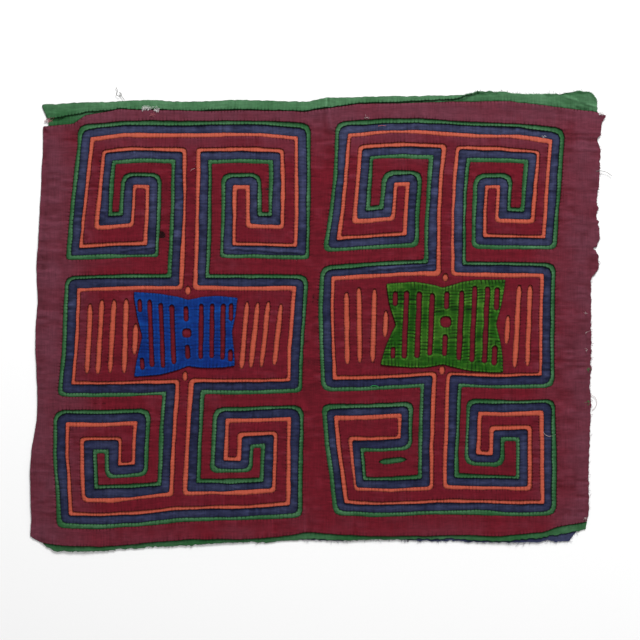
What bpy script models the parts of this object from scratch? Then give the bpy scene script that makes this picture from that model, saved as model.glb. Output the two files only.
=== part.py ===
"""Mola panel: a hand-sewn panel of cotton cloths, lying flat with its face up.

Whole cloths lie one on another: navy below, then green, then maroon. The green and the maroon are
cut open in two places, so that two hooked maroon figures stand in channels that show the navy, each
on an orange piece that reaches a little past it, with a slotted emblem sewn on top.

Sizes are in millimetres until a mesh is made. x runs to the right, y up the panel as it is looked
at, and z out of its face. The panel leans a little and no edge is quite straight: each figure is
laid out square first, and then placed by its four uneven edges and its two middle lines.
"""

import math
from collections import namedtuple

import bmesh
import bpy
from mathutils import Vector
from mathutils.geometry import delaunay_2d_cdt

MM = 0.001

# Each cloth with its turned hem, and the space between it and the next.
CLOTH = 1.0
GAP = 0.3
LEVEL = CLOTH + GAP
BASE_Z = 0.0
MIDDLE_Z = LEVEL
TOP_Z = 2 * LEVEL
EMBLEM_Z = 3 * LEVEL

# What each lower cloth shows round a figure, outwards from the figure's edge.
ORANGE_SHOWS = 2.8
GREEN_SHOWS = 3.0

# Corner radii. An edge is round where the cloth is turned under round an inner corner.
HEM_RADIUS = 2.5
ORANGE_RADIUS = 1.6
GREEN_DRAWN_IN = 1.0  # how much tighter the green's corners are than the maroon's outside them
LEAST_RADIUS = 1.2
ARC_STEPS = 2
LONGEST_RUN = 30.0

# One half of a figure, measured inwards from its end: the end bar's thickness, the tip of the
# hooked arm, the near and far edge of the arm's returning run, and the edge of the middle block.
# rounds are the radii of the upper and of the lower corners where the ground is cut open round it.
Half = namedtuple("Half", "bar tip near far block rounds")

# A figure's columns are measured outwards from its stem: the stem's half width, the inner and
# outer edge of the hooked arm's end run, and the inner edge of the outer run. channel is the space
# to the ground round it. stub is the half of the lower left arm, which may end without a hook.
Figure = namedtuple(
    "Figure", "name channel stem hook_in hook_out outer_in half_width half_block upper lower stub"
)

LEFT = Figure(
    name="left",
    channel=12.0,
    stem=3.6,
    hook_in=34.5,
    hook_out=41.5,
    outer_in=70.9,
    half_width=78.4,
    half_block=33.4,
    upper=Half(bar=7.5, tip=38.6, near=67.6, far=77.8, block=113.6, rounds=(6.0, 1.8)),
    lower=Half(bar=7.9, tip=36.8, near=55.5, far=63.2, block=96.5, rounds=(6.5, 4.5)),
    stub=None,
)
RIGHT = Figure(
    name="right",
    channel=11.6,
    stem=3.7,
    hook_in=30.9,
    hook_out=37.1,
    outer_in=67.9,
    half_width=74.0,
    half_block=36.0,
    upper=Half(bar=6.8, tip=39.0, near=64.5, far=73.0, block=105.8, rounds=(6.5, 4.0)),
    lower=Half(bar=7.0, tip=36.0, near=54.8, far=62.3, block=94.0, rounds=(5.0, 6.0)),
    stub=Half(bar=7.0, tip=48.5, near=48.5, far=61.0, block=94.0, rounds=(5.0, 6.0)),
)

# Where each figure's edges and middle lines lie on the panel, at six even stations: the sides and
# the stem from the upper end down, the ends and the middle row from the left to the right.
EDGES = {
    "left": {
        "left_x": (-168.0, -174.4, -178.1, -180.8, -187.1, -183.8),
        "stem_x": (-94.9, -95.3, -97.5, -99.0, -102.8, -105.4),
        "right_x": (-17.6, -17.6, -19.5, -23.3, -22.9, -24.0),
        "upper_y": (135.0, 138.4, 137.6, 138.0, 138.4, 136.1),
        "middle_y": (-11.6, -10.9, -10.1, -10.1, -10.1, -10.0),
        "lower_y": (-142.9, -144.0, -140.6, -138.0, -138.0, -135.4),
    },
    "right": {
        "left_x": (24.8, 20.3, 12.4, 13.1, 15.8, 22.5),
        "stem_x": (100.5, 96.0, 95.6, 93.8, 90.8, 90.0),
        "right_x": (173.3, 169.1, 166.5, 165.4, 166.5, 167.3),
        "upper_y": (138.0, 140.6, 139.9, 137.6, 137.3, 133.5),
        "middle_y": (-5.6, -3.8, -1.9, -2.3, -3.0, -2.6),
        "lower_y": (-134.3, -135.8, -134.3, -133.1, -134.6, -134.6),
    },
}

# The ends of a slit or slot: how far it is drawn in along it, and how wide its tip is.
Ends = namedtuple("Ends", "taper tip")
SLIT_ENDS = Ends(4.5, 1.7)
SLOT_ENDS = Ends(1.2, 2.0)

# Slits in a figure's middle block, which show the orange. side is the side of the block that inset
# is measured from; up and down are the slit's ends above and below the block's middle; lean is how
# much further to the right its upper end is than its lower one.
Slit = namedtuple("Slit", "side inset up down lean")
SLIT_WIDTH = 3.8
SLITS = {
    "left": (
        Slit("left", 7.7, 24.5, 28.0, 0.0),
        Slit("left", 15.6, 27.0, 28.0, 0.8),
        Slit("left", 24.2, 27.0, 27.5, 0.8),
        Slit("left", 33.6, 27.0, 28.0, -0.4),
        Slit("left", 40.6, 8.5, 14.5, 0.6),
        Slit("right", 34.8, 25.0, 26.0, 2.6),
        Slit("right", 27.0, 24.5, 25.0, 3.4),
        Slit("right", 18.9, 25.0, 25.0, 3.0),
        Slit("right", 8.8, 23.5, 23.5, 2.6),
    ),
    "right": (
        Slit("left", 7.8, 26.5, 27.0, 0.0),
        Slit("left", 15.7, 29.5, 26.5, -0.4),
        Slit("left", 25.2, 28.0, 27.0, 1.0),
        Slit("left", 33.2, 11.5, 8.5, 0.8),
        Slit("right", 25.9, 7.5, 14.5, 0.8),
        Slit("right", 18.2, 30.0, 32.0, 2.0),
        Slit("right", 8.6, 30.0, 31.5, 1.0),
    ),
}
CENTRE_SLITS = {"left": ((29.8, 36.0), (-35.0, -27.5)), "right": ((31.5, 37.6), (-38.0, -31.4))}

# How an emblem's side is drawn in to its middle: over what share of the side to each hand, how
# sharply, and how far the rest of the side swells out.
Dip = namedtuple("Dip", "reach power swell")
UPRIGHT_DIP = Dip(0.50, 1.4, 0.3)

# The emblems: corners and the middle of each side on the panel, clockwise from the upper left, and
# where the slots lie. first and step space the long slots outwards from the middle one. Of the rest,
# last is the step on to the short corner slots, and lean how far the slots lean over to the right
# for each millimetre up, both for the left and the right half. above and below are the cloth left
# outside the slots' ends, from the left to the right. dot is half the middle hole's width.
Emblem = namedtuple(
    "Emblem",
    "name corners middles dip centre_x slot first step last lean corner_slots above below dot dot_rise",
)
EMBLEMS = (
    Emblem(
        name="left",
        corners=((-138.0, 21.8), (-60.1, 17.5), (-62.1, -34.0), (-138.0, -42.0)),
        middles=((-97.5, 15.8), (-64.5, -8.0), (-97.0, -33.8), (-131.8, -11.6)),
        dip=Dip(0.36, 1.9, 0.3),
        centre_x=-98.3,
        slot=3.4,
        first=10.6,
        step=8.2,
        last=(7.4, 5.9),
        lean=(-0.040, 0.015),
        corner_slots=(10.0, 13.5, 9.0, 9.0),
        above=(5.0, 5.0, 7.0, 7.0, 5.0, 4.5, 5.0, 5.5, 4.5),
        below=(5.0, 6.5, 4.5, 5.5, 6.0, 6.5, 7.5, 6.0, 4.0),
        dot=3.4,
        dot_rise=-0.4,
    ),
    Emblem(
        name="right",
        corners=((51.2, 28.1), (140.8, 31.2), (138.9, -38.8), (47.0, -32.7)),
        middles=((93.8, 25.0), (133.5, -2.5), (94.1, -32.3), (58.1, -3.2)),
        dip=Dip(0.26, 1.5, 0.9),
        centre_x=95.8,
        slot=3.8,
        first=11.0,
        step=9.6,
        last=(8.4, 7.4),
        lean=(0.042, 0.045),
        corner_slots=(11.5, 17.0, 14.5, 9.0),
        above=(6.0, 6.5, 7.0, 6.5, 3.5, 6.5, 4.5, 5.5, 6.0),
        below=(5.5, 6.5, 7.0, 8.0, 6.5, 6.5, 7.0, 7.0, 5.5),
        dot=4.0,
        dot_rise=1.4,
    ),
)
LONG_SLOTS = 3  # on each side of an emblem's middle
MIDDLE_BRIDGE = 5.4  # cloth left between the middle dot and the slots above and below it
DOT_CHAMFER = 0.55  # share of the dot's half width that its sides are straight for
SIDE_PARTS = (-0.75, -0.5, -0.3, -0.14, 0.0, 0.14, 0.3, 0.5, 0.75)  # of half a side, from its middle

# The small slit in the ground that shows the green: its ends and its widest part.
GROUND_SLIT = {"start": (45.5, -105.7), "end": (66.5, -103.8), "width": 4.2}
GROUND_SLIT_ENDS = Ends(4.2, 1.0)

# The maroon cloth's edge, side by side, round from the upper left corner.
MAROON_LEFT = (
    (-206.3, 146.0),
    (-206.3, 128.3),
    (-208.5, 90.8),
    (-211.5, 38.3),
    (-210.8, 15.8),
    (-212.3, -14.3),
    (-210.8, -50.0),
    (-211.5, -74.3),
    (-215.5, -104.3),
    (-215.3, -147.0),
)
MAROON_BOTTOM = (
    (-216.2, -162.0),
    (-207.0, -166.5),
    (-185.3, -168.8),
    (-162.8, -169.5),
    (-133.5, -166.9),
    (-96.0, -163.9),
    (-58.5, -163.9),
    (-21.0, -160.9),
    (-9.8, -158.6),
    (37.5, -161.6),
    (110.3, -160.8),
    (137.3, -161.6),
    (168.0, -158.1),
    (178.5, -154.3),
)
MAROON_RIGHT = (
    (202.1, -150.8),
    (204.0, -143.3),
    (202.5, -114.0),
    (204.8, 15.8),
    (204.8, 30.8),
    (209.0, 40.5),
    (207.8, 54.0),
    (211.3, 62.3),
    (208.5, 76.5),
    (211.5, 114.8),
    (212.3, 127.5),
    (209.3, 136.0),
    (212.1, 139.1),
    (212.9, 147.8),
)
MAROON_TOP = (
    (216.2, 154.5),
    (206.3, 157.1),
    (187.5, 159.2),
    (144.8, 165.0),
    (87.8, 164.3),
    (30.0, 162.8),
    (7.5, 159.2),
    (-9.8, 156.8),
    (-60.0, 158.1),
    (-96.0, 157.5),
    (-148.9, 158.6),
    (-174.2, 154.4),
    (-183.3, 148.1),
)

# The green middle cloth: hidden under the maroon at the sides, past it above and below.
GREEN_LEFT = ((-202.5, 149.3), (-203.5, 100.0), (-207.5, 20.0), (-208.0, -60.0), (-211.5, -110.0))
GREEN_BOTTOM = (
    (-206.3, -167.3),
    (-197.5, -172.5),
    (-163.5, -172.9),
    (-132.0, -170.3),
    (-103.5, -168.4),
    (-58.5, -166.5),
    (-39.8, -166.5),
    (-9.8, -163.5),
    (106.5, -163.1),
    (137.3, -165.8),
    (168.0, -162.8),
    (183.0, -159.8),
)
GREEN_RIGHT = (
    (201.4, -156.0),
    (200.0, -100.0),
    (202.5, 20.0),
    (206.0, 80.0),
    (209.0, 130.0),
    (210.0, 157.5),
)
GREEN_TOP = (
    (209.3, 167.3),
    (204.0, 172.1),
    (195.0, 172.9),
    (181.5, 170.3),
    (151.5, 170.6),
    (138.0, 172.1),
    (119.3, 172.1),
    (100.0, 166.8),
    (60.0, 166.5),
    (8.0, 165.2),
    (-10.0, 162.3),
    (-66.0, 163.2),
    (-126.0, 163.6),
    (-163.5, 161.8),
    (-198.0, 158.5),
)

# The navy base: just inside the cloths above it, and past them along the lower right edge.
NAVY_EDGE = (
    (-200.0, 146.0),
    (-209.0, 20.0),
    (-209.5, -60.0),
    (-213.0, -110.0),
    (-212.5, -160.0),
    (-195.0, -169.5),
    (-132.0, -167.5),
    (-58.5, -164.5),
    (-15.0, -162.8),
    (-12.0, -165.0),
    (9.0, -165.2),
    (60.0, -165.3),
    (110.0, -165.9),
    (144.8, -167.0),
    (168.0, -165.3),
    (188.3, -165.4),
    (192.0, -160.5),
    (199.0, -152.0),
    (198.5, -100.0),
    (201.0, 20.0),
    (204.5, 80.0),
    (207.0, 150.0),
    (180.0, 164.0),
    (100.0, 163.5),
    (-10.0, 159.5),
    (-126.0, 160.5),
)

# The turned green edge along the top: its upper edge from the left to the right. Its lower edge
# follows the maroon, from strip_start, a hem's width away.
STRIP_TOP = (
    (-207.2, 162.4),
    (-163.5, 164.3),
    (-126.0, 166.1),
    (-100.0, 164.6),
    (-66.0, 165.8),
    (-9.8, 164.6),
    (7.5, 167.6),
    (61.5, 169.1),
    (102.0, 169.5),
    (121.5, 171.8),
)
STRIP_LOWER_LEFT = ((-203.4, 151.6), (-174.0, 156.2))
STRIP_LOWER_RIGHT = ((84.0, 165.6), (100.0, 166.2))
STRIP_SEAT = 0.6  # how far the strip's lower edge stays outside the maroon's edge

# How the margins lift off the surface: a ring between two upright boxes round the figures, flat at
# the inner one and on the surface at its four corners. Each side's rows give a place, as a share of
# the side, and the lift at the edge.
RING_OUTER = {"left": -219.0, "right": 219.0, "lower": -176.0, "upper": 176.0}
RING_INNER = {"left": -197.0, "right": 185.0, "lower": -152.0, "upper": 143.0}
RING_MIDDLE_SHARE = 0.3  # of the edge's lift, halfway in
RING_CELLS = {"lower": 22, "right": 18, "upper": 22, "left": 18}
LIFTS = {
    "lower": ((0.0, 0.0), (0.08, 1.6), (0.19, 0.3), (0.33, 1.3), (0.45, 0.2), (0.6, 1.2), (0.72, 0.3),
              (0.89, 1.9), (1.0, 0.0)),
    "right": ((0.0, 0.0), (0.12, 1.5), (0.35, 0.3), (0.55, 1.3), (0.68, 0.4), (0.8, 1.6), (0.88, 0.7),
              (0.94, 2.2), (1.0, 0.0)),
    "upper": ((0.0, 0.0), (0.07, 3.2), (0.16, 0.9), (0.24, 1.9), (0.34, 0.3), (0.52, 0.9),
              (0.7, 0.2), (0.83, 0.7), (0.93, 2.0), (1.0, 0.0)),
    "left": ((0.0, 0.0), (0.06, 1.8), (0.15, 0.4), (0.3, 1.4), (0.45, 0.3), (0.62, 1.2), (0.75, 0.4),
             (0.9, 1.8), (1.0, 0.0)),
}

# The crease from being stored folded in half: a soft ridge between the figures.
CREASE = {"upper": (5.0, 148.0), "lower": (-6.0, -150.0), "half_width": 3.5, "lift": 0.5, "cells": 8}

COLOURS = {
    "base_cloth": (0.030, 0.032, 0.120),
    "middle_cloth": (0.045, 0.190, 0.075),
    "outline_left": (0.610, 0.100, 0.045),
    "outline_right": (0.610, 0.100, 0.045),
    "top_cloth": (0.150, 0.018, 0.032),
    "figure_left": (0.165, 0.010, 0.020),
    "figure_right": (0.165, 0.010, 0.020),
    "emblem_left": (0.005, 0.065, 0.340),
    "emblem_right": (0.018, 0.160, 0.012),
    "top_strip": (0.048, 0.220, 0.085),
}
ROUGHNESS = 0.92

JOINED = 0.001  # points closer than this are one
SLACK = 1e-6  # of a facet, when a point is looked for in it


def arm(figure, half, hooked):
    """One arm's corners, from where the stem meets the middle block to the figure's outer corner.

    They are in the quarter where both coordinates are positive.
    """
    end = figure.half_block + half.block
    outer = figure.half_width
    points = [
        (figure.stem, figure.half_block),
        (figure.stem, end - half.bar),
        (figure.outer_in, end - half.bar),
        (figure.outer_in, end - half.near),
    ]
    if hooked:
        points += [
            (figure.hook_out, end - half.near),
            (figure.hook_out, end - half.tip),
            (figure.hook_in, end - half.tip),
            (figure.hook_in, end - half.far),
        ]
    else:
        points += [(figure.hook_in, end - half.near), (figure.hook_in, end - half.far)]
    return points + [(outer, end - half.far), (outer, end)]


def figure_corners(figure):
    """The square layout of a whole figure, counterclockwise, with the middle block's centre at 0."""
    upper = arm(figure, figure.upper, True)
    lower = arm(figure, figure.lower, True)
    lower_left = arm(figure, figure.stub, False) if figure.stub else lower
    width, block = figure.half_width, figure.half_block
    return (
        [(width, -block), (width, block)]
        + upper
        + [(-u, v) for u, v in reversed(upper)]
        + [(-width, block), (-width, -block)]
        + [(-u, -v) for u, v in lower_left]
        + [(u, -v) for u, v in reversed(lower)]
    )


def unit(start, end):
    length = math.dist(start, end)
    return ((end[0] - start[0]) / length, (end[1] - start[1]) / length)


def grown(corners, distance):
    """A square-cornered outline moved outwards by a distance, with its corners kept sharp."""
    loop = []
    for i, corner in enumerate(corners):
        before = unit(corners[i - 1], corner)
        after = unit(corner, corners[(i + 1) % len(corners)])
        loop.append(
            (
                corner[0] + distance * (before[1] + after[1]),
                corner[1] - distance * (before[0] + after[0]),
            )
        )
    return loop


def rounded(corners, radius_at):
    """A counterclockwise outline with its corners as arcs; a radius of 0 leaves a corner sharp."""
    loop = []
    for i, corner in enumerate(corners):
        before = unit(corners[i - 1], corner)
        after = unit(corner, corners[(i + 1) % len(corners)])
        radius = radius_at(corner, before, after)
        if radius == 0:
            loop.append(corner)
            continue
        centre = (
            corner[0] - radius * (before[0] - after[0]),
            corner[1] - radius * (before[1] - after[1]),
        )
        for step in range(ARC_STEPS + 1):
            angle = math.pi / 2 * step / ARC_STEPS
            loop.append(
                (
                    centre[0] - radius * (after[0] * math.cos(angle) - before[0] * math.sin(angle)),
                    centre[1] - radius * (after[1] * math.cos(angle) - before[1] * math.sin(angle)),
                )
            )
    return loop


def turns_left(before, after):
    return before[0] * after[1] - before[1] * after[0] > 0


def inner_rounds(radius):
    """Round corners where an outline turns in on itself, and sharp ones elsewhere."""
    return lambda corner, before, after: 0 if turns_left(before, after) else radius


def opening_rounds(figure, drawn_in):
    """Corners of a cloth cut open round a figure: round outwards, as each half gives them."""

    def radius_at(corner, before, after):
        if not turns_left(before, after):
            return 0
        upper_corner = before[1] > 0 or after[1] < 0
        half = figure.upper if corner[1] > 0 else figure.lower
        return max(half.rounds[0 if upper_corner else 1] - drawn_in, LEAST_RADIUS)

    return radius_at


def divided(loop, longest):
    """A closed outline with points added, so that no run is longer than a length."""
    points = []
    for i, start in enumerate(loop):
        end = loop[(i + 1) % len(loop)]
        parts = max(1, math.ceil(math.dist(start, end) / longest))
        for k in range(parts):
            share = k / parts
            points.append(
                (start[0] + share * (end[0] - start[0]), start[1] + share * (end[1] - start[1]))
            )
    return points


def along(stations, share):
    """A smooth curve through evenly spaced values, read at a share from 0 to 1."""
    last = len(stations) - 1
    place = min(max(share, 0.0), 1.0) * last
    i = min(int(place), last - 1)
    t = place - i
    p1, p2 = stations[i], stations[i + 1]
    p0 = stations[i - 1] if i > 0 else 2 * p1 - p2
    p3 = stations[i + 2] if i + 2 <= last else 2 * p2 - p1
    return 0.5 * (
        2 * p1
        + (p2 - p0) * t
        + (2 * p0 - 5 * p1 + 4 * p2 - p3) * t * t
        + (3 * p1 - p0 - 3 * p2 + p3) * t**3
    )


def through(first, middle, last, node, share):
    """A soft curve through three values, the middle one at a share of node."""
    return (
        first * (1 - share) * (node - share) / node
        + middle * share * (1 - share) / (node * (1 - node))
        + last * share * (share - node) / (1 - node)
    )


def placed(figure, u, v):
    """A point of the square layout, placed between the figure's uneven edges and middle lines."""
    lines = EDGES[figure.name]
    width = 2 * figure.half_width
    top = figure.half_block + figure.upper.block
    height = top + figure.half_block + figure.lower.block
    s, t = (u + figure.half_width) / width, (top - v) / height
    sc, tc = min(max(s, 0.0), 1.0), min(max(t, 0.0), 1.0)
    sides = (along(lines[key], tc) for key in ("left_x", "stem_x", "right_x"))
    rows = (along(lines[key], sc) for key in ("upper_y", "middle_y", "lower_y"))
    return (
        through(*sides, 0.5, sc) + (s - sc) * width,
        through(*rows, top / height, tc) - (t - tc) * height,
    )


def band_edge(figure, distance, radius_at):
    """The outline of what lies a distance outside a figure, on the panel."""
    corners = grown(figure_corners(figure), distance)
    loop = divided(rounded(corners, radius_at), LONGEST_RUN)
    return [placed(figure, u, v) for u, v in loop]


def opening(start, end, width, ends):
    """A narrow opening between two points: parallel sides, drawn in to a blunt tip at each end."""
    along_x, along_y = unit(start, end)
    length = math.dist(start, end)
    taper = min(ends.taper, length / 3)
    half, tip = width / 2, ends.tip / 2
    offsets = ((0, -tip), (taper, -half), (length - taper, -half), (length, -tip),
               (length, tip), (length - taper, half), (taper, half), (0, tip))
    return [
        (start[0] + a * along_x - b * along_y, start[1] + a * along_y + b * along_x)
        for a, b in offsets
    ]


def figure_slits(figure):
    """The slits through a figure's middle block."""
    spans = []
    for slit in SLITS[figure.name]:
        edge = figure.half_width - slit.inset
        u = -edge if slit.side == "left" else edge
        spans.append(((u - slit.lean / 2, -slit.down), (u + slit.lean / 2, slit.up)))
    spans += [((0.0, low), (0.0, high)) for low, high in CENTRE_SLITS[figure.name]]
    return [
        opening(placed(figure, *low), placed(figure, *high), SLIT_WIDTH, SLIT_ENDS)
        for low, high in spans
    ]


def emblem_outline(emblem):
    """A panel whose sides are softly drawn in to their middles."""
    outline = []
    for i, corner in enumerate(emblem.corners):
        following = emblem.corners[(i + 1) % len(emblem.corners)]
        dip = UPRIGHT_DIP if i % 2 else emblem.dip
        run_x, run_y = unit(corner, following)
        length = math.dist(corner, following)
        x, y = emblem.middles[i][0] - corner[0], emblem.middles[i][1] - corner[1]
        node = x * run_x + y * run_y
        depth = x * run_y - y * run_x
        outline.append(corner)
        for part in SIDE_PARTS:
            at = node + part * (node if part < 0 else length - node)
            share = at / length
            near = max(0.0, 1 - abs(at - node) / (dip.reach * length)) ** dip.power
            inwards = (depth + dip.swell) * near - dip.swell * 4 * share * (1 - share)
            outline.append(
                (corner[0] + at * run_x + inwards * run_y, corner[1] + at * run_y - inwards * run_x)
            )
    return outline


def crossing(outline, x, upper):
    """The highest or lowest y at which an outline crosses an upright line."""
    found = []
    for i, start in enumerate(outline):
        end = outline[(i + 1) % len(outline)]
        if (start[0] - x) * (end[0] - x) <= 0 and start[0] != end[0]:
            share = (x - start[0]) / (end[0] - start[0])
            found.append(start[1] + share * (end[1] - start[1]))
    return max(found) if upper else min(found)


def emblem_slots(emblem):
    """The slots of an emblem and the squarish dot in its middle."""
    outline = emblem_outline(emblem)

    def ends(x, column):
        top = crossing(outline, x, True) - emblem.above[column]
        return top, crossing(outline, x, False) + emblem.below[column]

    centre_x = emblem.centre_x
    middle_column = LONG_SLOTS + 1
    top, bottom = ends(centre_x, middle_column)
    centre_y = (top + bottom) / 2 + emblem.dot_rise
    reach = emblem.dot + MIDDLE_BRIDGE
    left_lean, right_lean = emblem.lean
    spans = [
        (centre_x, top, centre_y + reach, left_lean),
        (centre_x, centre_y - reach, bottom, left_lean),
    ]
    upper_left, upper_right, lower_right, lower_left = emblem.corner_slots
    for side, last, lean, upper, lower in (
        (-1, emblem.last[0], left_lean, upper_left, lower_left),
        (1, emblem.last[1], right_lean, upper_right, lower_right),
    ):
        offset = emblem.first
        for k in range(LONG_SLOTS):
            x = centre_x + side * offset
            spans.append((x, *ends(x, middle_column + side * (k + 1)), lean))
            offset += emblem.step
        x = centre_x + side * (offset - emblem.step + last)
        top, bottom = ends(x, middle_column + side * (LONG_SLOTS + 1))
        spans += [(x, top, top - upper, lean), (x, bottom + lower, bottom, lean)]
    slots = [
        opening(
            (x + lean * (bottom - centre_y), bottom),
            (x + lean * (top - centre_y), top),
            emblem.slot,
            SLOT_ENDS,
        )
        for x, top, bottom, lean in spans
    ]
    near, far = DOT_CHAMFER * emblem.dot, emblem.dot
    quarter = ((far, near), (near, far))
    dot = [
        (centre_x + x, centre_y + y)
        for turned in (quarter, [(-y, x) for x, y in quarter],
                       [(-x, -y) for x, y in quarter], [(y, -x) for x, y in quarter])
        for x, y in turned
    ]
    return slots + [dot]


def strip_outline():
    """The turned edge: over the green, and just outside the maroon's upper edge."""
    under = [
        (x, y + STRIP_SEAT)
        for x, y in reversed(MAROON_TOP)
        if STRIP_LOWER_LEFT[-1][0] < x < STRIP_LOWER_RIGHT[0][0]
    ]
    return list(STRIP_LOWER_LEFT) + under + list(STRIP_LOWER_RIGHT) + list(reversed(STRIP_TOP))


def eased(rows, share):
    """A value that swings softly from row to row."""
    for (start, low), (end, high) in zip(rows, rows[1:]):
        if share <= end:
            part = (share - start) / (end - start)
            return low + (high - low) * (1 - math.cos(math.pi * part)) / 2
    return rows[-1][1]


def ring_corners(box):
    return {
        "lower": ((box["left"], box["lower"]), (box["right"], box["lower"])),
        "right": ((box["right"], box["lower"]), (box["right"], box["upper"])),
        "upper": ((box["right"], box["upper"]), (box["left"], box["upper"])),
        "left": ((box["left"], box["upper"]), (box["left"], box["lower"])),
    }


def fold_facets():
    """The flat facets that the cloths lift in: triangles of (x, y, lift)."""
    outer, inner = ring_corners(RING_OUTER), ring_corners(RING_INNER)
    rows = []
    for side, cells in RING_CELLS.items():
        for k in range(cells):
            share = k / cells
            lift = eased(LIFTS[side], share)
            far, near = (
                tuple(start[i] + share * (end[i] - start[i]) for i in range(2))
                for start, end in (outer[side], inner[side])
            )
            middle = ((far[0] + near[0]) / 2, (far[1] + near[1]) / 2)
            rows.append(((*far, lift), (*middle, RING_MIDDLE_SHARE * lift), (*near, 0.0)))
    facets = []
    for i, row in enumerate(rows):
        facets += strip_facets(row, rows[(i + 1) % len(rows)])
    crease = []
    for k in range(CREASE["cells"] + 1):
        share = k / CREASE["cells"]
        x = CREASE["upper"][0] + share * (CREASE["lower"][0] - CREASE["upper"][0])
        y = CREASE["upper"][1] + share * (CREASE["lower"][1] - CREASE["upper"][1])
        lift = 0.0 if k in (0, CREASE["cells"]) else CREASE["lift"]
        half = CREASE["half_width"]
        crease.append(((x - half, y, 0.0), (x, y, lift), (x + half, y, 0.0)))
    for row, following in zip(crease, crease[1:]):
        facets += strip_facets(row, following)
    return facets


def strip_facets(row, following):
    facets = []
    for k in range(len(row) - 1):
        facets.append((row[k], row[k + 1], following[k]))
        facets.append((row[k + 1], following[k + 1], following[k]))
    return facets


def lift_at(facets, x, y):
    """How far the cloth lifts at a point."""
    for (ax, ay, az), (bx, by, bz), (cx, cy, cz) in facets:
        area = (bx - ax) * (cy - ay) - (cx - ax) * (by - ay)
        b = ((x - ax) * (cy - ay) - (cx - ax) * (y - ay)) / area
        c = ((bx - ax) * (y - ay) - (x - ax) * (by - ay)) / area
        if b > -SLACK and c > -SLACK and b + c < 1 + SLACK:
            return az + b * (bz - az) + c * (cz - az)
    return 0.0


def inside(loop, x, y):
    found = False
    for i, (x1, y1) in enumerate(loop):
        x0, y0 = loop[i - 1]
        if (y0 > y) != (y1 > y) and x < x0 + (y - y0) / (y1 - y0) * (x1 - x0):
            found = not found
    return found


def cloth(name, outline, holes, z, facets, centre):
    """One cloth: a sheet of even thickness with holes, lifted along the shared facets."""
    points, edges = [], []
    for loop in [outline] + holes:
        first = len(points)
        points += loop
        edges += [(first + i, first + (i + 1) % len(loop)) for i in range(len(loop))]
    low_x, high_x = min(p[0] for p in outline), max(p[0] for p in outline)
    low_y, high_y = min(p[1] for p in outline), max(p[1] for p in outline)
    known = {}
    for facet in facets:
        xs, ys = [p[0] for p in facet], [p[1] for p in facet]
        if max(xs) < low_x or min(xs) > high_x or max(ys) < low_y or min(ys) > high_y:
            continue
        for start, end in zip(facet, facet[1:] + facet[:1]):
            pair = []
            for point in (start, end):
                if point[:2] not in known:
                    known[point[:2]] = len(points)
                    points.append(point[:2])
                pair.append(known[point[:2]])
            edges.append(tuple(pair))
    flat, _, triangles, *_ = delaunay_2d_cdt([Vector(p) for p in points], edges, [], 0, JOINED)
    kept = []
    for triangle in triangles:
        x = sum(flat[i][0] for i in triangle) / 3
        y = sum(flat[i][1] for i in triangle) / 3
        if inside(outline, x, y) and not any(inside(hole, x, y) for hole in holes):
            kept.append(triangle)

    mesh = bpy.data.meshes.new(name)
    bm = bmesh.new()
    lower, upper = {}, {}
    for i in sorted({i for triangle in kept for i in triangle}):
        x, y = flat[i]
        lift = lift_at(facets, x, y)
        spot = ((x - centre[0]) * MM, (y - centre[1]) * MM)
        lower[i] = bm.verts.new((*spot, (z + lift) * MM))
        upper[i] = bm.verts.new((*spot, (z + CLOTH + lift) * MM))
    rim = {}
    for a, b, c in kept:
        bm.faces.new((upper[a], upper[b], upper[c]))
        bm.faces.new((lower[c], lower[b], lower[a]))
        for start, end in ((a, b), (b, c), (c, a)):
            if (end, start) in rim:
                del rim[(end, start)]
            else:
                rim[(start, end)] = True
    for start, end in rim:
        bm.faces.new((upper[start], lower[start], lower[end], upper[end]))
    bmesh.ops.triangulate(bm, faces=bm.faces[:])
    bm.to_mesh(mesh)
    bm.free()

    material = bpy.data.materials.new(name)
    material.use_nodes = True
    shader = material.node_tree.nodes["Principled BSDF"]
    shader.inputs["Base Color"].default_value = (*COLOURS[name], 1.0)
    shader.inputs["Roughness"].default_value = ROUGHNESS
    mesh.materials.append(material)
    piece = bpy.data.objects.new(name, mesh)
    bpy.context.scene.collection.objects.link(piece)
    return piece


def main():
    for old in list(bpy.data.objects):
        bpy.data.objects.remove(old, do_unlink=True)

    maroon = list(MAROON_LEFT + MAROON_BOTTOM + MAROON_RIGHT + MAROON_TOP)
    green = list(GREEN_LEFT + GREEN_BOTTOM + GREEN_RIGHT + GREEN_TOP)
    strip = strip_outline()
    everything = maroon + green + strip + list(NAVY_EDGE)
    centre = tuple(
        (min(p[i] for p in everything) + max(p[i] for p in everything)) / 2 for i in range(2)
    )
    facets = fold_facets()

    figures = (LEFT, RIGHT)
    ground_holes = [band_edge(f, f.channel, opening_rounds(f, 0)) for f in figures]
    green_holes = [
        band_edge(f, f.channel - GREEN_SHOWS, opening_rounds(f, GREEN_DRAWN_IN)) for f in figures
    ]
    slit = opening(GROUND_SLIT["start"], GROUND_SLIT["end"], GROUND_SLIT["width"], GROUND_SLIT_ENDS)

    cloth("base_cloth", list(NAVY_EDGE), [], BASE_Z, facets, centre)
    cloth("middle_cloth", green, green_holes, MIDDLE_Z, facets, centre)
    cloth("top_cloth", maroon, ground_holes + [slit], TOP_Z, facets, centre)
    cloth("top_strip", strip, [], TOP_Z, facets, centre)
    for figure, emblem in zip(figures, EMBLEMS):
        orange = band_edge(figure, ORANGE_SHOWS, inner_rounds(ORANGE_RADIUS))
        cloth("outline_" + figure.name, orange, [], MIDDLE_Z, facets, centre)
        edge = band_edge(figure, 0, inner_rounds(HEM_RADIUS))
        cloth("figure_" + figure.name, edge, figure_slits(figure), TOP_Z, facets, centre)
        outline = emblem_outline(emblem)
        cloth("emblem_" + emblem.name, outline, emblem_slots(emblem), EMBLEM_Z, facets, centre)


main()
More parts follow.
